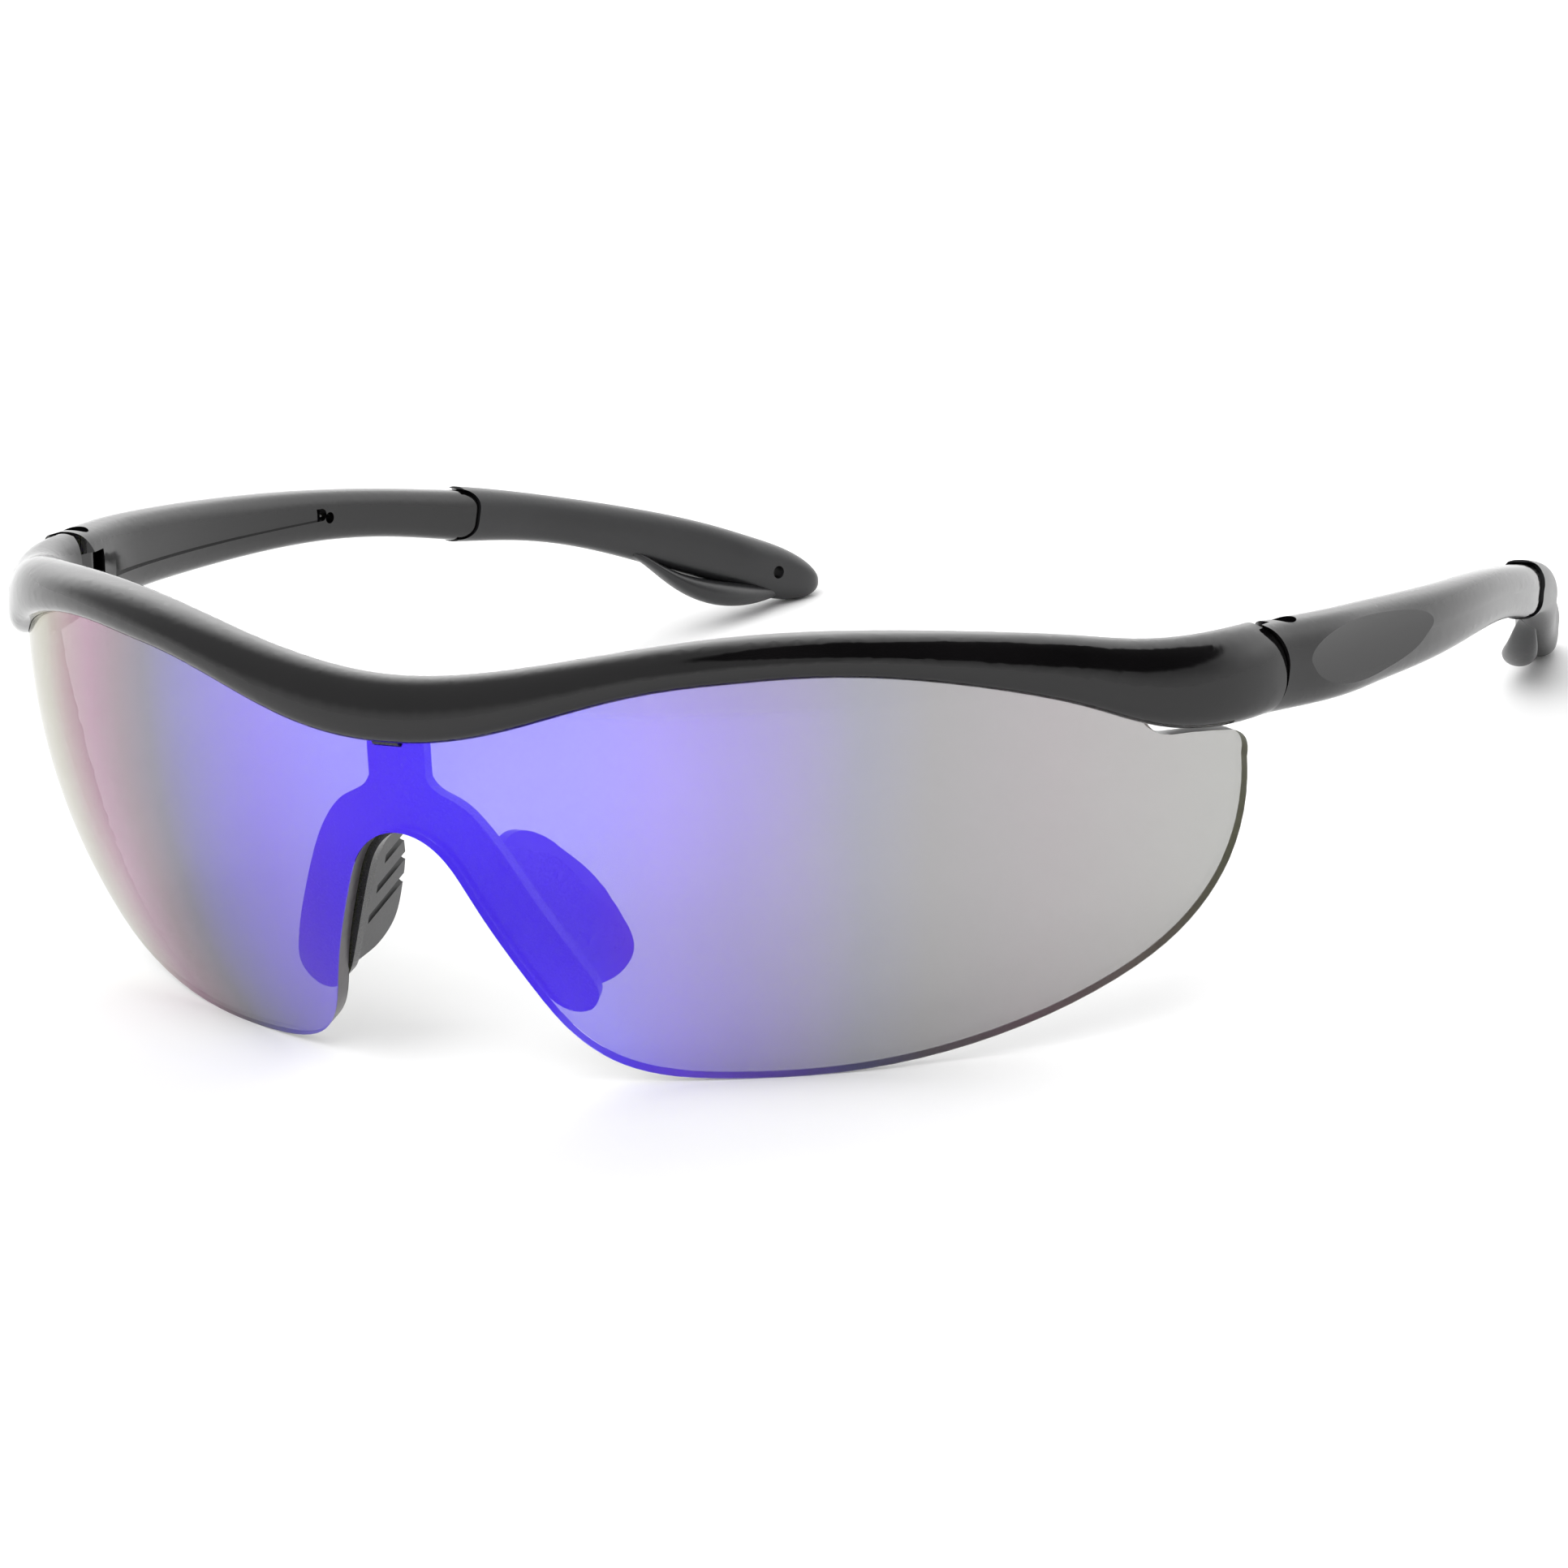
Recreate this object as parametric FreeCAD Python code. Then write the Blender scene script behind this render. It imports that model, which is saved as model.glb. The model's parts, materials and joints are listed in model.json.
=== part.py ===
import FreeCAD, Part
import math
import os

# Wraparound sport sunglasses, one shield lens under a full-width brow bar.
# The parts are drawn in the wearing frame, in millimetres: +X to the wearer's left,
# +Y from the lens back towards the ears, +Z up, with the front of the lens at Y = 0
# on the centreline. The last section lays the finished set down on a flat surface.

V = FreeCAD.Vector
UP = V(0, 0, 1)

# ---- front: lens and brow bar ----
PLAN_R = 78.2            # radius of the front in plan
BEND_S = 74.0            # arc length from the centre where the endpiece bends back
BEND_R = 24.0            # plan radius of that bend
LENS_RV = 59.0           # vertical radius of the lens
LENS_ZC = -3.6           # height of the lens's foremost line
LENS_T = 1.9             # lens thickness
GROOVE_GAP = 0.05        # clearance each side of the lens in its groove
GROOVE_DEPTH = 2.2       # how far the lens enters the bar

# Brow bar: arc length, bottom edge, top edge.
BAR = ((0, -5.5, 0.4), (10, -4.4, 1.2), (20, -1.5, 2.9), (30, 0.6, 4.5), (40, 1.4, 5.25), (50, 0.9, 5.1),
       (60, -0.9, 4.4), (70, -4.0, 3.15), (78, -5.55, 2.75), (84, -5.4, 2.85), (92, -5.2, 2.8))
# Bar section: how far in front of the lens face, share of the height.
BAR_SECTION = ((0.8, 0.0), (1.35, 0.05), (1.9, 0.34), (1.6, 0.66), (0.4, 0.92), (-1.3, 1.0), (-3.0, 0.9),
               (-3.75, 0.55), (-3.6, 0.16), (-2.9, 0.01), (-1.1, 0.0))

# Lens edge, right half: arc length and height.
LENS_LOWER = ((0, -14.3), (2.3, -14.8), (4.6, -16.5), (6.9, -20.3), (11.8, -29.3), (15.0, -34.0),
              (18.2, -36.4), (22.5, -37.8), (30.0, -38.3), (45.0, -37.5), (58.6, -34.7), (70.0, -30.2),
              (77.5, -25.0), (81.2, -19.5), (82.6, -13.5), (82.5, -8.9))
LENS_CORNER = ((82.5, -8.9), (82.2, -7.0), (80.8, -6.2))
LENS_TAB = ((80.8, -6.2), (77.5, -6.0), (74.4, -6.0))
LENS_NOTCH = ((74.4, -6.0), (72.9, -5.6), (71.9, -4.6))
LENS_END_S = 71.9
WALL_REACH = (5.0, -9.0)  # how far the trimming walls stand in front of and behind the lens face

# ---- nose bridge and pads ----
BRIDGE_T = 1.2
BRIDGE_GAP = 0.1         # between lens and bridge
STEM_W = 3.15            # half width of the stem
STEM_TOP = -2.6
BRIDGE_EDGE = ((3.15, -9.2), (4.0, -10.3), (6.2, -11.4), (8.6, -13.5), (12.8, -20.2), (17.1, -27.4),
               (18.1, -30.1), (16.9, -31.9), (14.3, -32.0), (11.1, -29.0), (6.1, -20.4), (4.0, -16.9),
               (2.0, -15.3), (0, -14.8))
NUB_W = 1.4              # half width of the lock nub
NUB_BOTTOM = -5.9
NUB_FRONT = 0.45
# The pad's flat: x = PAD_X + PAD_DY * y - PAD_DZ * z on its nose side.
PAD_X = -0.78
PAD_DY = 0.204
PAD_DZ = 0.356
PAD_T = 1.0              # rubber
WING_T = 1.0             # rigid wing under the rubber
PAD_EDGE = ((8.4, -15.6), (10.3, -15.0), (14.0, -16.6), (16.1, -18.6), (17.7, -20.4), (19.4, -24.0),
            (19.7, -27.2), (17.4, -28.9), (13.3, -29.6), (10.4, -29.5), (9.4, -26.5), (8.4, -20.5))
PAD_GROOVES = (-19.6, -22.6, -25.6)  # heights of the grooves' front ends
PAD_GROOVE = (12.1, 21.1, 3.6)       # Y of both ends, and the rise between them
PAD_GROOVE_R = 0.55
WING_INSET = 2.2
PEG_R = 0.6
PEGS = ((12.6, -19.5), (13.8, -25.6))
WING_ROOT = ((5.3, -16.8), (10.5, -17.0), (12.5, -21.5), (12.5, -27.0), (9.5, -28.4), (7.5, -24.0))

# ---- hinge ----
PIVOT = (67.8, 47.1)     # vertical axis of the left hinge
SEAM_OUT = (70.3, 44.4)  # where the seam meets the outer face
SEAM_IN = (66.7, 45.1)
SEAM_GAP = 0.12
SEAM_R = 5.2             # side-view radius of the endpiece's rounded end
SEAM_ROUND = 50.0        # half angle of that rounding
SEAM_MID = -1.3          # height of its rearmost point
KNUCKLE_R = 1.85
KNUCKLE = (-2.9, 0.4)    # bottom and top of the bar's knuckle
NECK_OUT = 1.2           # outer side of the knuckle's neck, from the pivot
NECK_LENGTH = 4.3
SLOT_GAP = 0.1
EAR_R = 2.5
EAR_CLEAR = 0.15
FOLD_REACH = 2.8         # the folded arm's inner face comes this near to the pivot
FOLD_BEVEL = ((1.2, 2.95), (4.5, 4.7), (10.0, 4.7))  # inward and forward from the pivot, the inner corner
SCREW_R = 0.7
SCREW_CLEAR = 0.05       # running clearance in the knuckle
HEAD_R = 1.25
HEAD_Z = (1.0, 1.9)      # underside and top of the screw head
HEAD_CLEAR = 0.12
RECESS_W = 0.4           # width and depth of the cross in the screw head
RECESS_L = 1.8
INSERT_R = 1.2
INSERT_Z = (-5.0, -3.2)

# ---- temples ----
# Station along Y: centre X, half thickness, bottom, top.
ARM = ((34, 65.8, 2.5, -5.5, 2.9), (40, 66.6, 2.55, -5.6, 2.9), (46, 67.6, 2.55, -5.7, 2.75),
       (52, 69.0, 2.55, -5.75, 2.6), (60, 69.9, 2.35, -5.5, 2.35), (70, 70.0, 2.2, -5.3, 1.8),
       (85, 68.4, 2.05, -5.1, 0.7), (100, 65.2, 1.95, -6.2, -1.0), (114, 61.3, 1.9, -8.6, -3.1))
ARM_END = 111.0
TIP = ((104, 64.3, 2.2, -7.0, -1.3), (114, 61.3, 2.2, -8.5, -2.9), (124, 57.6, 2.1, -10.4, -5.2),
       (134, 53.2, 2.0, -13.9, -7.9), (143, 49.0, 2.1, -17.5, -11.0), (148.2, 46.6, 2.2, -19.4, -13.2),
       (151.1, 45.3, 2.1, -19.8, -14.8), (152.9, 44.5, 1.7, -19.4, -16.3), (153.7, 44.1, 0.9, -18.7, -17.4))
# Station along Y: middle inwards from the tip's own, height of the middle, half width, half height.
WING = ((131, 0.8, -12.0, 0.8, 0.5), (135.5, 1.5, -15.3, 1.5, 0.9), (139, 1.8, -17.1, 1.8, 1.3),
        (142.5, 1.8, -18.0, 1.7, 1.3), (145.5, 1.4, -18.4, 1.3, 1.0), (148.3, 0.8, -18.5, 0.7, 0.6))
SECTION_POWER = 0.72     # 1 would make the sections ellipses, less makes them squarer
TIP_SEAM_R = 1.8         # corner radius of the seam in side view
TIP_SEAM_FLAT = 0.9      # half height of its straight middle
TIP_SEAM_LEAN = 12.0     # degrees, top to the rear
TANG_SCALE = 0.55
TANG_START = 106.0
TANG_END = 136.0
TIP_GAP = 0.06
CORD_Y = 148.0
CORD_R = 0.7
RECESS_DEPTH = 0.5
RECESS = ((52.0, -2.9, 0.45), (60.0, -2.85, 0.0), (88.6, -2.8, -1.5))  # stations: Y, bottom, top
DIMPLE_R = 0.6
DIMPLE_Y = 89.7
DIMPLE_Z = -2.6
SCOOP_Y = 56.0
SCOOP_Z = -1.0
SCOOP_R = 9.8
SCOOP_DEPTH = 0.65
SCOOP_SLOPE = 0.07       # sideways and upward lean of the scoop along the arm
SCOOP_RISE = 0.03

# ---- stance ----
REST_TILT = 7.86         # degrees, lens lobes and temple tips on one flat surface


# ---------------------------------------------------------------- curves
def plan(s):
    """Point and heading of the front's plan curve at arc length s from the centre."""
    side = -1.0 if s < 0 else 1.0
    length = abs(s)
    turn = min(length, BEND_S) / PLAN_R
    x = PLAN_R * math.sin(turn)
    y = PLAN_R * (1 - math.cos(turn))
    if length > BEND_S:
        start = turn
        turn = start + (length - BEND_S) / BEND_R
        x += BEND_R * (math.sin(turn) - math.sin(start))
        y += BEND_R * (math.cos(start) - math.cos(turn))
    return side * x, y, side * turn


def front_point(s, n, z):
    """Point n in front of the plan curve, at height z."""
    x, y, turn = plan(s)
    return V(x + n * math.sin(turn), y - n * math.cos(turn), z)


def lens_point(s, z, n):
    """Point n along the normal of the lens face from its point at arc length s, height z."""
    lift = math.asin((z - LENS_ZC) / LENS_RV)
    reach = PLAN_R - LENS_RV + (LENS_RV + n) * math.cos(lift)
    turn = s / PLAN_R
    return V(reach * math.sin(turn), PLAN_R - reach * math.cos(turn), LENS_ZC + (LENS_RV + n) * math.sin(lift))


def spline(points, closed=False):
    curve = Part.BSplineCurve()
    steps = [0.0]
    ring = list(points) + ([points[0]] if closed else [])
    for a, b in zip(ring, ring[1:]):
        steps.append(steps[-1] + a.distanceToPoint(b))
    curve.interpolate(Points=points, PeriodicFlag=closed, Parameters=steps)
    return curve.toShape()


def loft(rings):
    wires = [Part.Wire([spline(ring, closed=True)]) for ring in rings]
    return Part.makeLoft(wires, True, False)


def between(table, at, column):
    """Value of a column of a station table at a place between its stations."""
    for low, high in zip(table, table[1:]):
        if at <= high[0]:
            share = (at - low[0]) / (high[0] - low[0])
            return low[column] + share * (high[column] - low[column])
    return table[-1][column]


def mirrored(shape):
    return shape.mirror(V(0, 0, 0), V(1, 0, 0))


def biggest(shape):
    return max(shape.Solids, key=lambda solid: solid.Volume)


def box(x0, x1, y0, y1, z0, z1):
    return Part.makeBox(x1 - x0, y1 - y0, z1 - z0, V(x0, y0, z0))


# ---------------------------------------------------------------- lens-shaped sheets
def sheet(outer, inner):
    """Toric band that follows the lens, from n = outer to n = inner."""
    low, high = math.radians(-44), math.radians(12)

    def arc(n):
        def at(lift):
            return V(0, LENS_RV - (LENS_RV + n) * math.cos(lift), LENS_ZC + (LENS_RV + n) * math.sin(lift))
        return Part.Arc(at(low), at((low + high) / 2), at(high)).toShape()

    front, back = arc(outer), arc(inner)
    top = Part.LineSegment(front.Vertexes[-1].Point, back.Vertexes[-1].Point).toShape()
    bottom = Part.LineSegment(front.Vertexes[0].Point, back.Vertexes[0].Point).toShape()
    face = Part.Face(Part.Wire(Part.__sortEdges__([front, top, back, bottom]))).toNurbs().Faces[0]
    half_turn = math.degrees(86.0 / PLAN_R)
    axis = V(0, PLAN_R, 0)
    face.rotate(axis, UP, -half_turn)
    return face.revolve(axis, UP, 2 * half_turn)


def trimmed(band, segments, inside):
    """The piece of a band round one inside point, cut square to its face along (s, z) segments."""
    walls = []
    for segment in segments:
        steps = [0.0]
        for a, b in zip(segment, segment[1:]):
            steps.append(steps[-1] + math.hypot(b[0] - a[0], b[1] - a[1]))
        edges = []
        for n in WALL_REACH:
            points = [lens_point(s, z, n) for s, z in segment]
            curve = Part.BSplineCurve()
            curve.interpolate(Points=points, Parameters=steps)
            edges.append(curve.toShape())
        walls.append(Part.makeRuledSurface(edges[0], edges[1]))
    pieces, _ = band.generalFuse(walls)
    for piece in pieces.Solids:
        if piece.isInside(inside, 1e-4, True):
            return piece
    raise ValueError("outline does not close")


def flip(segment):
    """The same segment on the other half, run the other way."""
    return tuple((-s, z) for s, z in reversed(segment))


def joined_halves(half):
    """One smooth segment from the left end to the right end of a half outline."""
    return flip(half)[:-1] + tuple(half)


def bar_edge(s, column):
    return between(BAR, abs(s), column)


def lens_top(rise):
    stations = (0, 10, 20, 30, 40, 50, 60, LENS_END_S)
    return tuple((s, bar_edge(s, 1) + rise) for s in stations)


def shield_lens():
    top = joined_halves(lens_top(GROOVE_DEPTH))
    riser = (LENS_NOTCH[-1], top[-1])
    segments = [joined_halves(LENS_LOWER), LENS_CORNER, LENS_TAB, LENS_NOTCH, riser, tuple(reversed(top)),
                flip(riser), flip(LENS_NOTCH), flip(LENS_TAB), flip(LENS_CORNER)]
    band = sheet(0.0, -LENS_T)
    lens = trimmed(band, segments, lens_point(40, -20, -LENS_T / 2))
    notch = box(-NUB_W - 0.1, NUB_W + 0.1, -4, 6, NUB_BOTTOM - 0.1, 2)
    return biggest(lens.cut(notch))


def lens_groove():
    """The lens and a clearance all round, where it enters the bar."""
    top = joined_halves(lens_top(GROOVE_DEPTH + 0.1))
    end = LENS_END_S + 0.15
    top = ((-end, top[0][1]),) + top[1:-1] + ((end, top[-1][1]),)
    low = -16.0
    segments = [((-end, low), (0, low), (end, low)), ((end, low), top[-1]), tuple(reversed(top)),
                (top[0], (-end, low))]
    band = sheet(GROOVE_GAP, -LENS_T - GROOVE_GAP)
    return trimmed(band, segments, lens_point(40, -6, -LENS_T / 2))


# ---------------------------------------------------------------- hinge
def seam_body(gap, side_from, side_to):
    """Everything in front of the hinge seam, grown by gap; its end is rounded in side view."""
    out = V(SEAM_OUT[0], SEAM_OUT[1], 0)
    inward = V(SEAM_IN[0], SEAM_IN[1], 0) - out
    inward.normalize()
    back = V(-inward.y, inward.x, 0)
    if back.y < 0:
        back = back * -1
    centre = out + back * (gap - SEAM_R) + UP * SEAM_MID
    start = centre + inward * side_from
    rounding = Part.makeCylinder(SEAM_R, side_to - side_from, start, inward)
    flat = SEAM_R * math.cos(math.radians(SEAM_ROUND))
    corners = []
    for along, height in ((-30, -12), (flat, -12), (flat, 12), (-30, 12)):
        corners.append(start + back * along + UP * height)
    block = Part.Face(Part.makePolygon(corners + corners[:1])).extrude(inward * (side_to - side_from))
    return block.fuse(rounding)


def pivot_cylinder(radius, z0, z1):
    return Part.makeCylinder(radius, z1 - z0, V(PIVOT[0], PIVOT[1], z0))


def knuckle():
    """The bar's tongue round the hinge screw."""
    px, py = PIVOT
    barrel = pivot_cylinder(KNUCKLE_R, KNUCKLE[0], KNUCKLE[1])
    neck = box(px - KNUCKLE_R, px + NECK_OUT, py - NECK_LENGTH, py, KNUCKLE[0], KNUCKLE[1])
    return barrel.fuse(neck).cut(pivot_cylinder(SCREW_R + SCREW_CLEAR, -8, 8))


def folding_room():
    """Room in the bar's end for the arm's ears, and for its inner face when it is folded."""
    px, py = PIVOT
    above = pivot_cylinder(EAR_R + EAR_CLEAR, KNUCKLE[1], 8)
    below = pivot_cylinder(EAR_R + EAR_CLEAR, -10, KNUCKLE[0])
    corners = [V(px, py + 6, -10), V(px, py - FOLD_REACH, -10)]
    corners += [V(px - along, py - back, -10) for along, back in FOLD_BEVEL]
    corners += [V(px - 10, py + 6, -10)]
    inner = Part.Face(Part.makePolygon(corners + corners[:1])).extrude(UP * 18)
    return above.fuse(below).fuse(inner)


def brow_bar():
    stations = [(-s, bottom, top) for s, bottom, top in reversed(BAR[1:])] + list(BAR)
    rings = []
    for s, bottom, top in stations:
        rings.append([front_point(s, n, bottom + share * (top - bottom)) for n, share in BAR_SECTION])
    bar = loft(rings).cut(lens_groove())
    front_part = seam_body(0.0, -12, 16).fuse(box(-200, 60, -50, 200, -40, 40))
    bar = bar.common(front_part).common(mirrored(front_part))
    bar = bar.cut(folding_room()).cut(mirrored(folding_room()))
    bar = bar.fuse(knuckle()).fuse(mirrored(knuckle()))
    return biggest(bar.cut(stem_pocket()).removeSplitter())


# ---------------------------------------------------------------- nose bridge
def stem_pocket():
    back = -LENS_T - BRIDGE_GAP - BRIDGE_T - 0.05
    band = sheet(GROOVE_GAP, back)
    w, top = STEM_W + 0.05, STEM_TOP + 0.05
    segments = [((-w, -9), (w, -9)), ((w, -9), (w, top)), ((w, top), (-w, top)), ((-w, top), (-w, -9))]
    pocket = trimmed(band, segments, lens_point(0, -6, back / 2))
    nub = box(-NUB_W - 0.1, NUB_W + 0.1, -NUB_FRONT - 0.05, 1, -8, NUB_BOTTOM + 2.3)
    return pocket.fuse(nub)


def nose_bridge():
    front = -LENS_T - BRIDGE_GAP
    band = sheet(front, front - BRIDGE_T)
    lower = joined_halves(tuple(reversed(BRIDGE_EDGE[7:])))
    leg = tuple(reversed(BRIDGE_EDGE[:8]))
    stem = (BRIDGE_EDGE[0], (STEM_W, STEM_TOP))
    top = ((STEM_W, STEM_TOP), (-STEM_W, STEM_TOP))
    segments = [lower, leg, stem, top, flip(stem), flip(leg)]
    plate = trimmed(band, segments, lens_point(0, -11, front - BRIDGE_T / 2))
    nub = box(-NUB_W, NUB_W, -NUB_FRONT, 2.9, NUB_BOTTOM, NUB_BOTTOM + 2.2)
    lip = [edge for edge in nub.Edges if edge.BoundBox.YMax < 0 and edge.BoundBox.ZMax < NUB_BOTTOM + 0.1]
    nub = nub.makeFillet(0.35, lip)
    body = plate.fuse(nub)
    body = body.fuse(pad_wing()).fuse(mirrored(pad_wing()))
    return biggest(body.removeSplitter())


def pad_x(y, z, off=0.0):
    return PAD_X + PAD_DY * y - PAD_DZ * z + off


def pad_plate(edge, off0, off1):
    """Plate between two offsets of the pad's flat, with an outline of (y, z) points."""
    wire = Part.Wire([spline([V(pad_x(y, z, off0), y, z) for y, z in edge], closed=True)])
    face = Part.Face(wire)
    return face.extrude(V(off1 - off0, 0, 0))


def shrunk(edge, by):
    """The outline moved in towards its middle."""
    middle_y = sum(y for y, z in edge) / len(edge)
    middle_z = sum(z for y, z in edge) / len(edge)
    out = []
    for y, z in edge:
        keep = 1 - by / math.hypot(y - middle_y, z - middle_z)
        out.append((middle_y + (y - middle_y) * keep, middle_z + (z - middle_z) * keep))
    return out


def pad_wing():
    """Rigid wing on the back of a bridge leg, which carries the rubber pad."""
    plate = pad_plate(shrunk(PAD_EDGE, WING_INSET), PAD_T, PAD_T + WING_T)
    root = pad_plate(WING_ROOT, PAD_T, PAD_T + WING_T)
    behind_lens = sheet(-LENS_T - BRIDGE_GAP - 0.3, -30.0)
    return plate.fuse(root.common(behind_lens))


def nose_pad():
    pad = pad_plate(PAD_EDGE, 0.0, PAD_T)
    front_y, rear_y, rise = PAD_GROOVE
    for z in PAD_GROOVES:
        start = V(pad_x(front_y, z, 0.1), front_y, z)
        end = V(pad_x(rear_y, z + rise, 0.1), rear_y, z + rise)
        pad = pad.cut(Part.makeCylinder(PAD_GROOVE_R, start.distanceToPoint(end), start, end - start))
    for y, z in PEGS:
        pad = pad.fuse(Part.makeCylinder(PEG_R, WING_T + 0.2, V(pad_x(y, z, PAD_T - 0.2), y, z), V(1, 0, 0)))
    return biggest(pad)


# ---------------------------------------------------------------- temples
def heading(table, at):
    """Plan direction of a temple's centreline at a station."""
    nearest = min(range(len(table)), key=lambda i: abs(table[i][0] - at))
    low = table[max(nearest - 1, 0)]
    high = table[min(nearest + 1, len(table) - 1)]
    along = V(high[1] - low[1], high[0] - low[0], 0)
    along.normalize()
    return along


def temple_ring(table, row, scale=1.0):
    """Rounded section of a temple, square to its centreline."""
    y, x, half, bottom, top = row
    along = heading(table, y)
    outward = V(along.y, -along.x, 0)
    middle = (bottom + top) / 2
    tall = (top - bottom) / 2 * scale
    ring = []
    for step in range(12):
        angle = math.radians(30 * step)
        across = math.copysign(abs(math.cos(angle)) ** SECTION_POWER, math.cos(angle)) * half * scale
        rise = math.copysign(abs(math.sin(angle)) ** SECTION_POWER, math.sin(angle)) * tall
        ring.append(V(x, y, middle + rise) + outward * across)
    return ring


def temple_loft(table, scale=1.0):
    return loft([temple_ring(table, row, scale) for row in table])


def tip_seam(gap, size):
    """Everything in front of the seam between arm and tip, which has rounded corners in side view."""
    along = heading(ARM, ARM_END)
    middle = (between(ARM, ARM_END, 3) + between(ARM, ARM_END, 4)) / 2
    front = box(-size, size, -size, -TIP_SEAM_R, -size / 2, size / 2)
    front = front.fuse(box(-10, 10, -TIP_SEAM_R - 1, 0, -TIP_SEAM_FLAT, TIP_SEAM_FLAT))
    for height in (-TIP_SEAM_FLAT, TIP_SEAM_FLAT):
        front = front.fuse(Part.makeCylinder(TIP_SEAM_R, 20, V(-10, -TIP_SEAM_R, height), V(1, 0, 0)))
    front.rotate(V(0, 0, 0), V(1, 0, 0), -TIP_SEAM_LEAN)
    front.rotate(V(0, 0, 0), UP, math.degrees(math.atan2(-along.x, along.y)))
    front.translate(V(between(ARM, ARM_END, 1), ARM_END, middle) + along * gap)
    return front


def arm_recess():
    """Long shallow channel in the arm's inner face, with a dimple at its rear end."""
    (y0, low0, high0), (y1, low1, high1), (y2, low2, high2) = RECESS
    middle = (high2 + low2) / 2
    outline = [V(0, y0, low0), V(0, y1, low1), V(0, y2, low2), V(0, y2, high2), V(0, y1, high1), V(0, y0, high0)]
    slab = Part.Face(Part.makePolygon(outline + outline[:1])).extrude(V(69, 0, 0))
    end = Part.makeCylinder((high2 - low2) / 2, 66, V(0, y2, middle), V(1, 0, 0))
    core = temple_loft([(y, x + RECESS_DEPTH, half, bottom, top) for y, x, half, bottom, top in ARM])
    along = heading(ARM, DIMPLE_Y)
    side = V(along.y, -along.x, 0)
    face_x = between(ARM, DIMPLE_Y, 1) - between(ARM, DIMPLE_Y, 2)
    dimple = Part.makeCylinder(DIMPLE_R, 3.0, V(face_x, DIMPLE_Y, DIMPLE_Z) - side * 2.2, side)
    return slab.fuse(end).cut(core).fuse(dimple)


def arm_scoop():
    """Shallow oval hollow in the arm's outer face, behind the hinge."""
    face_x = between(ARM, SCOOP_Y, 1) + between(ARM, SCOOP_Y, 2)
    along = V(SCOOP_SLOPE, 1, SCOOP_RISE)
    along.normalize()
    middle = V(face_x - SCOOP_DEPTH + SCOOP_R, SCOOP_Y, SCOOP_Z)
    return Part.makeCylinder(SCOOP_R, 60, middle - along * 30, along)


def hinge_slot():
    """Slot in the arm for the bar's knuckle and its neck, at every fold angle."""
    px, py = PIVOT
    low, high = KNUCKLE[0] - SLOT_GAP, KNUCKLE[1] + SLOT_GAP
    reach = KNUCKLE_R + 2 * SLOT_GAP
    barrel = pivot_cylinder(reach, low, high)
    neck = box(px - 20, px + NECK_OUT + SLOT_GAP, 20, py, low, high)
    folded_neck = box(px - 20, px, py - 1, py + reach, low, high)
    return barrel.fuse(neck).fuse(folded_neck)


def temple_arm():
    px, py = PIVOT
    arm = temple_loft(ARM).common(tip_seam(0.0, 120.0))
    arm = arm.cut(seam_body(SEAM_GAP, -12, 20))
    arm = arm.cut(box(px - 20, px, 20, py, -20, 20).cut(pivot_cylinder(EAR_R, -20, 20)))
    arm = arm.cut(hinge_slot())
    arm = arm.cut(pivot_cylinder(SCREW_R + 0.02, -3.4, 8))
    arm = arm.cut(pivot_cylinder(HEAD_R + HEAD_CLEAR, HEAD_Z[0], 8))
    arm = arm.cut(pivot_cylinder(INSERT_R, INSERT_Z[0], KNUCKLE[0]))
    arm = arm.cut(arm_recess()).cut(arm_scoop())
    tang = temple_loft(TIP, TANG_SCALE).common(box(30, 80, TANG_START, TANG_END, -40, 20))
    return biggest(arm.fuse(tang))


def inner_wing():
    """Flared rib along the tip's inner face."""
    rings = []
    for y, inset, z, wide, tall in WING:
        along = heading(TIP, y)
        side = V(along.y, -along.x, 0)
        middle = V(between(TIP, y, 1), y, z) - side * inset
        ring = []
        for step in range(12):
            angle = math.radians(30 * step)
            ring.append(middle + side * (wide * math.cos(angle)) + UP * (tall * math.sin(angle)))
        rings.append(ring)
    return loft(rings)


def cord_hole():
    along = heading(TIP, CORD_Y)
    side = V(along.y, -along.x, 0)
    middle = (between(TIP, CORD_Y, 3) + between(TIP, CORD_Y, 4)) / 2
    return Part.makeCylinder(CORD_R, 24, V(between(TIP, CORD_Y, 1), CORD_Y, middle) - side * 12, side)


def temple_tip():
    tip = temple_loft(TIP).fuse(inner_wing())
    tip = tip.cut(tip_seam(TIP_GAP, 30.0))
    socket = temple_loft(TIP, TANG_SCALE + 0.012).common(box(30, 80, TANG_START, TANG_END + 0.1, -40, 20))
    return biggest(tip.cut(socket).cut(cord_hole()).removeSplitter())


def hinge_screw():
    px, py = PIVOT
    shank = pivot_cylinder(SCREW_R, INSERT_Z[0] + 0.2, HEAD_Z[0])
    head = pivot_cylinder(HEAD_R, HEAD_Z[0], HEAD_Z[1])
    rim = max(head.Edges, key=lambda edge: edge.BoundBox.ZMin)
    head = head.makeFillet(0.25, [rim])
    half_w, half_l, floor = RECESS_W / 2, RECESS_L / 2, HEAD_Z[1] - RECESS_W
    cross = box(px - half_l, px + half_l, py - half_w, py + half_w, floor, 3)
    cross = cross.fuse(box(px - half_w, px + half_w, py - half_l, py + half_l, floor, 3))
    return biggest(shank.fuse(head).cut(cross).removeSplitter())


def hinge_insert():
    """Threaded brass insert in the arm's lower ear."""
    sleeve = pivot_cylinder(INSERT_R, INSERT_Z[0], INSERT_Z[1] + 0.1)
    return sleeve.cut(pivot_cylinder(SCREW_R, INSERT_Z[0] - 1, INSERT_Z[1] + 1))


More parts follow.
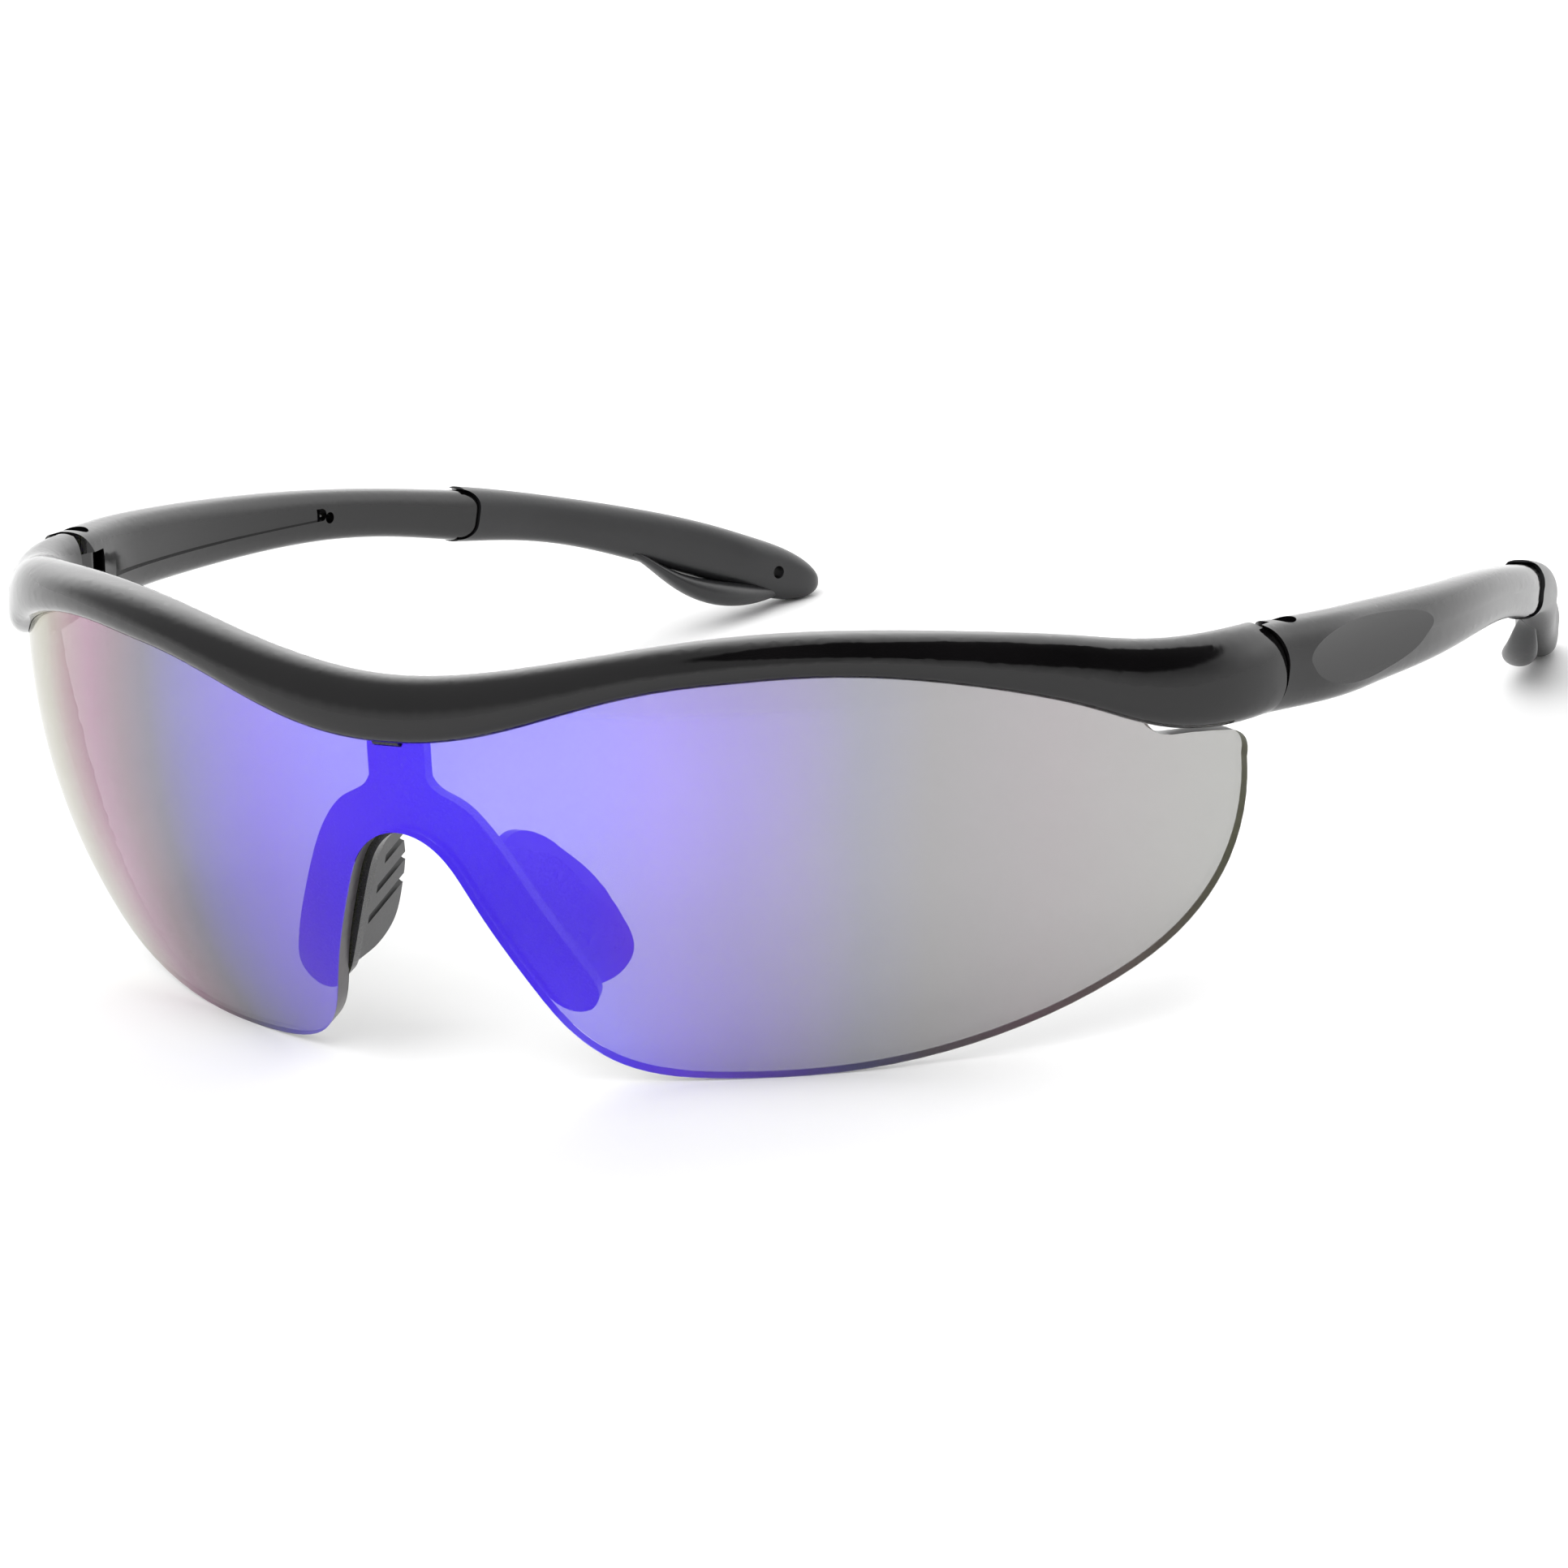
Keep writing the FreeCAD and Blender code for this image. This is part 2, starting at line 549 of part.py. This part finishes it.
# ---------------------------------------------------------------- assembly
def main():
    parts = {"brow_bar": brow_bar(), "shield_lens": shield_lens(), "nose_bridge": nose_bridge()}
    for name, make in (("nose_pad", nose_pad), ("temple_arm", temple_arm), ("temple_tip", temple_tip),
                       ("hinge_screw", hinge_screw), ("hinge_insert", hinge_insert)):
        left = make()
        parts[name + "_left"] = left
        parts[name + "_right"] = mirrored(left)
    for shape in parts.values():
        shape.rotate(V(0, 0, 0), V(1, 0, 0), -REST_TILT)
    floor = min(shape.optimalBoundingBox().ZMin for shape in parts.values())
    front = min(shape.optimalBoundingBox().YMin for shape in parts.values())
    rear = max(shape.optimalBoundingBox().YMax for shape in parts.values())
    shift = V(0, -(front + rear) / 2, -floor)
    os.makedirs("parts", exist_ok=True)
    for name, shape in parts.items():
        shape.translate(shift)
        print(name, len(shape.Solids), shape.isValid(), round(shape.Volume, 2))
        shape.exportStep("parts/" + name + ".step")
    print("shift", shift)


main()
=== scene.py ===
"""Looks of the wraparound sport sunglasses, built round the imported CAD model."""

import json
import math

import bpy
from mathutils import Matrix, Vector

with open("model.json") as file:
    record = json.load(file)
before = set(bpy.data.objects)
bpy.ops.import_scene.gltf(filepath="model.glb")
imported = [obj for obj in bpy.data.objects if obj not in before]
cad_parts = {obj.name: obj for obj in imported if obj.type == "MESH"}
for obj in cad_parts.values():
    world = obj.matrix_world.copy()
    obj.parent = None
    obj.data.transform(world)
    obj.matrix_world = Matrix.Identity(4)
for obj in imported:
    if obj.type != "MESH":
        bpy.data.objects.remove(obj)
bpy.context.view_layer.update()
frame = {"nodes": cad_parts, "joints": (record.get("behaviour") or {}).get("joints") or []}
scene = bpy.context.scene
nodes = frame["nodes"]

# ---- where the drawing frame of the part sits in the row frame (metres, radians) ----
REST_TILT = math.radians(7.86)
HINGE_DRAWN = Vector((0.0678, 0.0471, -0.00125))     # the left hinge, in the drawing frame
PLAN_R = 0.0782              # plan radius of the lens
LENS_AXIS_Y = 0.0782         # the lens's vertical axis, in the drawing frame
LENS_RV = 0.059              # its vertical radius
LENS_ZC = -0.0036            # height of its foremost line
COAT_DEPTH = 0.0005          # the mirror coat is on the front face alone

# ---- camera, in the drawing frame ----
CAMERA_AZIMUTH = math.radians(30.5175)
CAMERA_ELEVATION = math.radians(11.1975)
CAMERA_ROLL = math.radians(-1.4397)
CAMERA_DISTANCE = 0.745197
CAMERA_TARGET = Vector((0.0, 0.030, 0.0))
CAMERA_RIGHT = 0.0209427     # how far the line of sight passes to the right of the target
CAMERA_UP = -0.0152835       # and above it
CAMERA_LENS = 180.98         # mm
CAMERA_SENSOR = 36.0         # mm

# ---- light ----
FRONT_LIGHT = 0.65           # radiance of the studio in front of the object
LOW_LIGHT = 1.2              # and low down in front, near the floor
LOW_SINE = (0.0, 0.35)       # sines of the elevations between which the one passes into the other
BACK_LIGHT = 2.3             # behind it
LOW_BACK_LIGHT = 1.4         # and low down behind
BACK_FROM = (0.1, 0.75)      # where the one passes into the other, as the direction's backward part
GAP_LIGHT = 0.08             # and in the unlit round gap in its ceiling
GAP_PLACE = (0.526, -0.141, 0.839)     # direction of the gap's middle
GAP_COSINE = (0.75, 0.80)    # its soft rim
KEY_STRENGTH = 2.3           # of the wide soft key, watts per square metre
KEY_FROM = (0.0, -0.45, 0.8)           # it comes from above and ahead
KEY_WIDTH = math.radians(66)
FLOOR_HALF = 6.0             # half the floor's side


def hinge_shift():
    """Translation from the drawing frame to the row frame, from the left hinge's place in both."""
    joint = next(j for j in frame["joints"] if j["name"] == "temple_left_fold")
    return Vector(joint["pos_m"]) - Matrix.Rotation(-REST_TILT, 4, "X") @ HINGE_DRAWN


TO_ROW = Matrix.Translation(hinge_shift()) @ Matrix.Rotation(-REST_TILT, 4, "X")


# ---------------------------------------------------------------- small node helpers
def new_material(name):
    """An empty node material and its tree."""
    material = bpy.data.materials.new(name)
    material.use_nodes = True
    tree = material.node_tree
    tree.nodes.clear()
    return material, tree


def add(tree, kind, **values):
    node = tree.nodes.new("ShaderNode" + kind)
    for key, value in values.items():
        setattr(node, key, value)
    return node


def maths(tree, operation, first, second=None, third=None, clamp=False):
    """Result of a maths node on numbers or sockets."""
    node = add(tree, "Math", operation=operation, use_clamp=clamp)
    for socket, value in zip(node.inputs, (first, second, third)):
        if value is None:
            continue
        if isinstance(value, (int, float)):
            socket.default_value = value
        else:
            tree.links.new(value, socket)
    return node.outputs[0]


def noise(tree, coordinates, scale, detail=3.0, roughness=0.55, stretch=None):
    """Noise from 0 to 1, its scale in cycles per metre."""
    source = coordinates
    if stretch is not None:
        mapping = add(tree, "Mapping")
        mapping.inputs["Scale"].default_value = stretch
        tree.links.new(coordinates, mapping.inputs["Vector"])
        source = mapping.outputs[0]
    node = add(tree, "TexNoise")
    node.inputs["Scale"].default_value = scale
    node.inputs["Detail"].default_value = detail
    node.inputs["Roughness"].default_value = roughness
    tree.links.new(source, node.inputs["Vector"])
    return node.outputs["Fac"]


def ramp(tree, factor, stops):
    """A colour from a 0 to 1 value."""
    node = add(tree, "ValToRGB")
    elements = node.color_ramp.elements
    while len(elements) > 1:
        elements.remove(elements[-1])
    for index, (place, colour) in enumerate(stops):
        element = elements[0] if index == 0 else elements.new(place)
        element.position = place
        element.color = (*colour, 1.0)
    tree.links.new(factor, node.inputs[0])
    return node.outputs["Color"]


def spread(tree, factor, low, high):
    """A 0 to 1 value mapped to low to high."""
    node = add(tree, "MapRange")
    node.inputs["To Min"].default_value = low
    node.inputs["To Max"].default_value = high
    tree.links.new(factor, node.inputs["Value"])
    return node.outputs["Result"]


def eased(tree, factor, source, target):
    """A value taken smoothly from the source span to the target span."""
    node = add(tree, "MapRange", interpolation_type="SMOOTHSTEP")
    node.inputs["From Min"].default_value, node.inputs["From Max"].default_value = source
    node.inputs["To Min"].default_value, node.inputs["To Max"].default_value = target
    tree.links.new(factor, node.inputs["Value"])
    return node.outputs["Result"]


def bump(tree, height, distance, strength):
    """Normal for a relief that is the given distance high, in metres."""
    node = add(tree, "Bump")
    node.inputs["Strength"].default_value = strength
    node.inputs["Distance"].default_value = distance
    tree.links.new(height, node.inputs["Height"])
    return node.outputs["Normal"]


def principled(tree, **values):
    """Principled shader with its sockets set or linked, wired to the material's output."""
    node = add(tree, "BsdfPrincipled")
    for name, value in values.items():
        socket = node.inputs[name.replace("_", " ")]
        if isinstance(value, bpy.types.NodeSocket):
            tree.links.new(value, socket)
        else:
            socket.default_value = value
    output = add(tree, "OutputMaterial")
    tree.links.new(node.outputs[0], output.inputs["Surface"])


def object_coordinates(tree):
    return add(tree, "TexCoord").outputs["Object"]


# ---------------------------------------------------------------- materials
def gloss_plastic():
    """Polished black injection-moulded nylon with faint moulding waves and fine hairline scratches."""
    material, tree = new_material("black_gloss_nylon")
    place = object_coordinates(tree)
    cloud = noise(tree, place, 90.0)
    hairline = noise(tree, place, 2600.0, detail=2.0, stretch=(0.12, 1.0, 1.0))
    colour = ramp(tree, cloud, ((0.3, (0.0018, 0.0016, 0.0018)), (0.7, (0.0034, 0.0030, 0.0034))))
    rough = maths(tree, "ADD", spread(tree, cloud, 0.06, 0.12), spread(tree, hairline, -0.02, 0.04))
    wave = noise(tree, place, 160.0, detail=1.0)
    principled(tree, Base_Color=colour, Roughness=rough, Normal=bump(tree, wave, 0.00002, 0.2), IOR=1.47)
    return material


def soft_rubber(name, low, high, gloss, grain_scale, depth):
    """Matte thermoplastic rubber with a fine spark-eroded grain."""
    material, tree = new_material(name)
    place = object_coordinates(tree)
    cloud = noise(tree, place, 120.0)
    grain = noise(tree, place, grain_scale, detail=4.0, roughness=0.7)
    colour = ramp(tree, cloud, ((0.3, low), (0.7, high)))
    rough = maths(tree, "ADD", spread(tree, grain, *gloss), spread(tree, cloud, -0.04, 0.04))
    principled(tree, Base_Color=colour, Roughness=rough, Normal=bump(tree, grain, depth, 0.5), IOR=1.5)
    return material


def satin_plastic():
    """Bridge plastic, satin, with flow marks from the mould."""
    material, tree = new_material("bridge_satin_plastic")
    place = object_coordinates(tree)
    cloud = noise(tree, place, 140.0)
    grain = noise(tree, place, 4200.0, detail=2.0)
    colour = ramp(tree, cloud, ((0.3, (0.006, 0.006, 0.0065)), (0.7, (0.010, 0.010, 0.011))))
    rough = maths(tree, "ADD", spread(tree, grain, 0.22, 0.34), spread(tree, cloud, -0.03, 0.03))
    principled(tree, Base_Color=colour, Roughness=rough, Normal=bump(tree, grain, 0.00001, 0.3))
    return material


def turned_metal(name, low, high):
    """Small turned part: tool marks round its axis and a little tarnish."""
    material, tree = new_material(name)
    place = object_coordinates(tree)
    marks = noise(tree, place, 1500.0, detail=2.0, stretch=(1.0, 1.0, 6.0))
    stain = noise(tree, place, 700.0)
    colour = ramp(tree, stain, ((0.3, low), (0.75, high)))
    principled(tree, Base_Color=colour, Metallic=1.0, Roughness=spread(tree, marks, 0.22, 0.4),
               Normal=bump(tree, marks, 0.00001, 0.4))
    return material


# Mirror coat, by bearing round the lens's own axis in degrees: share of light thrown back, per colour.
# Its change along the lens is painted by place: it stands in for the coat's colour shift with viewing
# angle as seen from the camera's side, and the pale share at -60 is a painted grazing reflection.
COAT = ((-60, (0.45, 0.45, 0.38)), (-43, (0.24, 0.22, 0.12)), (-38, (0.19, 0.07, 0.08)),
        (-33, (0.19, 0.02, 0.11)), (-28, (0.09, 0.02, 0.06)), (-24, (0.03, 0.02, 0.08)),
        (-20, (0.03, 0.02, 0.26)), (-16, (0.05, 0.02, 0.42)), (-11, (0.07, 0.02, 0.57)),
        (-5, (0.06, 0.02, 0.66)), (4, (0.05, 0.02, 0.70)), (14, (0.06, 0.02, 0.69)),
        (19, (0.09, 0.02, 0.60)), (23, (0.08, 0.02, 0.46)), (28, (0.06, 0.02, 0.29)),
        (33, (0.02, 0.02, 0.11)), (38, (0.03, 0.02, 0.03)), (46, (0.05, 0.02, 0.03)),
        (60, (0.04, 0.04, 0.02)))
# Share that the grey lens body lets through, by bearing. Its change along the lens is painted shade: it
# stands in for the darker look where the view crosses the body at a slant from the camera's side.
TINT = ((-60, 0.30), (-42, 0.28), (-33, 0.22), (-24, 0.22), (-12, 0.23), (-4, 0.27), (8, 0.30),
        (24, 0.28), (36, 0.32), (60, 0.38))
COAT_HALF = 60.0             # degrees that the tables reach to each side
COAT_RIPPLE = 0.012          # how far the coat's bands wander, as a share of the tables' whole reach
COAT_ROUGHNESS = 0.08
SHEEN_ROUGHNESS = 0.02
LENS_IOR = 1.58
PLAIN_GLOSS = 0.05           # head-on reflection of the bare lens, which the coat takes the place of
CUT_EDGE = (0.00015, 0.00175)     # depths between which a point is on the lens's cut edge


def drawn_place(tree):
    """Separated coordinates in the drawing frame, where the lens is a plain torus."""
    back = TO_ROW.inverted()
    mapping = add(tree, "Mapping", vector_type="POINT")
    mapping.inputs["Location"].default_value = back.to_translation()
    mapping.inputs["Rotation"].default_value = back.to_euler()
    tree.links.new(object_coordinates(tree), mapping.inputs["Vector"])
    place = add(tree, "SeparateXYZ")
    tree.links.new(mapping.outputs[0], place.inputs[0])
    return place.outputs


def hypotenuse(tree, first, second):
    squares = maths(tree, "MULTIPLY_ADD", second, second, maths(tree, "MULTIPLY", first, first))
    return maths(tree, "SQRT", squares)


def lens_bearing_and_depth(tree):
    """0 to 1 across the lens by bearing round its axis, and metres behind the lens's front face."""
    x, y, z = drawn_place(tree)
    forward = maths(tree, "SUBTRACT", LENS_AXIS_Y, y)
    bearing = maths(tree, "ARCTAN2", x, forward)
    across = maths(tree, "MULTIPLY_ADD", bearing, 0.5 / math.radians(COAT_HALF), 0.5, clamp=True)
    reach = maths(tree, "SUBTRACT", hypotenuse(tree, x, forward), PLAN_R - LENS_RV)
    height = maths(tree, "SUBTRACT", z, LENS_ZC)
    depth = maths(tree, "SUBTRACT", LENS_RV, hypotenuse(tree, reach, height))
    return across, depth


def scaled(tree, colour, factor):
    node = add(tree, "VectorMath", operation="SCALE")
    tree.links.new(colour, node.inputs[0])
    tree.links.new(factor, node.inputs["Scale"])
    return node.outputs[0]


def by_bearing(table):
    """Ramp stops from a table by bearing."""
    return [((degrees + COAT_HALF) / (2 * COAT_HALF), value) for degrees, value in table]


def cut_edge(tree):
    """Smoked satin look of the lens's cut edge."""
    place = object_coordinates(tree)
    saw = noise(tree, place, 1800.0, stretch=(1.0, 1.0, 0.3))
    node = add(tree, "BsdfPrincipled")
    node.inputs["Roughness"].default_value = 0.3
    node.inputs["IOR"].default_value = LENS_IOR
    tree.links.new(ramp(tree, saw, ((0.3, (0.050, 0.045, 0.048)), (0.7, (0.075, 0.068, 0.072)))),
                   node.inputs["Base Color"])
    return node.outputs[0]


def mixed(tree, share, first, second):
    """Shader that is the second one by the given share, and otherwise the first."""
    node = add(tree, "MixShader")
    for socket, value in zip(node.inputs, (share, first, second)):
        tree.links.new(value, socket)
    return node.outputs[0]


def tinted_glass(tree, coat, across):
    """What passes the coat, refracted and dimmed by the grey body, each face taking half of the tint."""
    # the body's share by bearing is painted shade for the slanted view, not a change in the material
    body = ramp(tree, across, by_bearing([(at, (share ** 0.5,) * 3) for at, share in TINT]))
    passed = add(tree, "VectorMath", operation="SUBTRACT")
    passed.inputs[0].default_value = (1, 1, 1)
    tree.links.new(coat, passed.inputs[1])
    tinted = add(tree, "VectorMath", operation="MULTIPLY")
    tree.links.new(passed.outputs[0], tinted.inputs[0])
    tree.links.new(body, tinted.inputs[1])
    glass = add(tree, "BsdfRefraction")
    glass.inputs["Roughness"].default_value = 0.0
    glass.inputs["IOR"].default_value = LENS_IOR
    tree.links.new(tinted.outputs[0], glass.inputs["Color"])
    return glass.outputs[0]


def coated_glass(tree, coat, across):
    """The glass, and on top of it what the coat throws back."""
    mirror = add(tree, "BsdfAnisotropic")
    mirror.inputs["Roughness"].default_value = COAT_ROUGHNESS
    tree.links.new(coat, mirror.inputs["Color"])
    both = add(tree, "AddShader")
    tree.links.new(tinted_glass(tree, coat, across), both.inputs[0])
    tree.links.new(mirror.outputs[0], both.inputs[1])
    return both.outputs[0]


def glancing_share(tree, front):
    """Share of white sheen: the bare lens's reflection, less on the front what the coat stands for."""
    fresnel = add(tree, "Fresnel")
    fresnel.inputs["IOR"].default_value = LENS_IOR
    replaced = maths(tree, "MULTIPLY", front, PLAIN_GLOSS)
    return maths(tree, "SUBTRACT", fresnel.outputs[0], replaced, clamp=True)


def lens_material():
    """Grey polycarbonate with a dichroic mirror coat on its front face, violet-blue in the middle; the
    coat's colours and the body's tint along the lens are painted by place, standing in for their shift
    with viewing angle.
    """
    material, tree = new_material("mirror_lens")
    bearing, depth = lens_bearing_and_depth(tree)
    ripple = noise(tree, object_coordinates(tree), 45.0, detail=2.0)
    across = maths(tree, "ADD", bearing, spread(tree, ripple, -COAT_RIPPLE, COAT_RIPPLE))
    front = maths(tree, "LESS_THAN", depth, COAT_DEPTH)
    # the coat's colour by bearing is a painted reflection colour, standing in for its shift with viewing
    # angle
    coat = scaled(tree, ramp(tree, across, by_bearing(COAT)), front)
    sheen = add(tree, "BsdfAnisotropic")
    sheen.inputs["Roughness"].default_value = SHEEN_ROUGHNESS
    faces = mixed(tree, glancing_share(tree, front), coated_glass(tree, coat, across), sheen.outputs[0])
    inside = maths(tree, "GREATER_THAN", depth, CUT_EDGE[0])
    on_edge = maths(tree, "MULTIPLY", inside, maths(tree, "LESS_THAN", depth, CUT_EDGE[1]))
    output = add(tree, "OutputMaterial")
    tree.links.new(mixed(tree, on_edge, faces, cut_edge(tree)), output.inputs["Surface"])
    return material


FRAME_GLOSS = gloss_plastic()
TIP_RUBBER = soft_rubber("tip_rubber", low=(0.006, 0.006, 0.007), high=(0.010, 0.010, 0.011),
                         gloss=(0.28, 0.38), grain_scale=3800.0, depth=0.00001)
PAD_RUBBER = soft_rubber("pad_rubber", low=(0.040, 0.040, 0.041), high=(0.054, 0.054, 0.056),
                         gloss=(0.42, 0.56), grain_scale=3000.0, depth=0.00002)
BRIDGE = satin_plastic()
STEEL = turned_metal("screw_steel", (0.42, 0.42, 0.43), (0.62, 0.61, 0.60))
BRASS = turned_metal("insert_brass", (0.55, 0.38, 0.16), (0.78, 0.58, 0.28))
LENS = lens_material()


def dress():
    """One material for each CAD node."""
    wanted = {"brow_bar": FRAME_GLOSS, "shield_lens": LENS, "nose_bridge": BRIDGE}
    for side in ("left", "right"):
        wanted["nose_pad_" + side] = PAD_RUBBER
        wanted["temple_arm_" + side] = FRAME_GLOSS
        wanted["temple_tip_" + side] = TIP_RUBBER
        wanted["hinge_screw_" + side] = STEEL
        wanted["hinge_insert_" + side] = BRASS
    for name, material in wanted.items():
        for slot in nodes[name].material_slots:
            slot.material = material


# ---------------------------------------------------------------- stage
def floor():
    """Plain pale floor under the object."""
    mesh = bpy.data.meshes.new("floor")
    signs = ((-1, -1), (1, -1), (1, 1), (-1, 1))
    corners = [(x * FLOOR_HALF, y * FLOOR_HALF, 0) for x, y in signs]
    mesh.from_pydata(corners, [], [(0, 1, 2, 3)])
    ground = bpy.data.objects.new("floor", mesh)
    scene.collection.objects.link(ground)
    material, tree = new_material("pale_floor")
    grain = noise(tree, object_coordinates(tree), 40.0)
    colour = ramp(tree, grain, ((0.3, (0.93, 0.93, 0.93)), (0.7, (0.95, 0.95, 0.95))))
    principled(tree, Base_Color=colour, Roughness=0.9, Specular_IOR_Level=0.0)
    mesh.materials.append(material)


def key_light():
    """Wide soft key, even over the whole floor."""
    data = bpy.data.lights.new("key", "SUN")
    data.energy = KEY_STRENGTH
    data.angle = KEY_WIDTH
    lamp = bpy.data.objects.new("key", data)
    scene.collection.objects.link(lamp)
    lamp.rotation_euler = Vector(KEY_FROM).to_track_quat("Z", "Y").to_euler()
    lamp.visible_glossy = False


def studio():
    """Pale studio: bright behind, softer in front, with one unlit gap in the ceiling."""
    world = bpy.data.worlds.new("studio")
    scene.world = world
    world.use_nodes = True
    tree = world.node_tree
    outward = add(tree, "TexCoord").outputs["Generated"]
    parts = add(tree, "SeparateXYZ")
    tree.links.new(outward, parts.inputs[0])
    ahead = eased(tree, parts.outputs["Z"], LOW_SINE, (LOW_LIGHT, FRONT_LIGHT))
    behind = eased(tree, parts.outputs["Z"], LOW_SINE, (LOW_BACK_LIGHT, BACK_LIGHT))
    rearward = eased(tree, parts.outputs["Y"], BACK_FROM, (0.0, 1.0))
    room = maths(tree, "MULTIPLY_ADD", rearward, maths(tree, "SUBTRACT", behind, ahead), ahead)
    toward_gap = add(tree, "VectorMath", operation="DOT_PRODUCT")
    tree.links.new(outward, toward_gap.inputs[0])
    toward_gap.inputs[1].default_value = GAP_PLACE
    gap = eased(tree, toward_gap.outputs["Value"], GAP_COSINE, (1.0, GAP_LIGHT))
    strength = maths(tree, "MULTIPLY", room, gap)
    tree.links.new(strength, tree.nodes["Background"].inputs["Strength"])
    tree.nodes["Background"].inputs["Color"].default_value = (1, 1, 1, 1)
    scene.view_settings.view_transform = "Standard"


def camera():
    """Camera solved in the drawing frame, then carried over to the row frame."""
    az, el = CAMERA_AZIMUTH, CAMERA_ELEVATION
    ahead = Vector((-math.sin(az) * math.cos(el), math.cos(az) * math.cos(el), -math.sin(el)))
    right = Vector((math.cos(az), math.sin(az), 0))
    up = right.cross(ahead)
    place = CAMERA_TARGET + right * CAMERA_RIGHT + up * CAMERA_UP - ahead * CAMERA_DISTANCE
    rolled_right = right * math.cos(CAMERA_ROLL) + up * math.sin(CAMERA_ROLL)
    rolled_up = up * math.cos(CAMERA_ROLL) - right * math.sin(CAMERA_ROLL)
    turn = Matrix((rolled_right, rolled_up, -ahead)).transposed().to_4x4()
    turn.translation = place
    data = bpy.data.cameras.new("camera")
    data.sensor_width = CAMERA_SENSOR
    data.lens = CAMERA_LENS
    data.clip_start, data.clip_end = 0.01, 50.0
    eye = bpy.data.objects.new("camera", data)
    scene.collection.objects.link(eye)
    eye.matrix_world = TO_ROW @ turn
    scene.camera = eye


dress()
floor()
studio()
key_light()
camera()
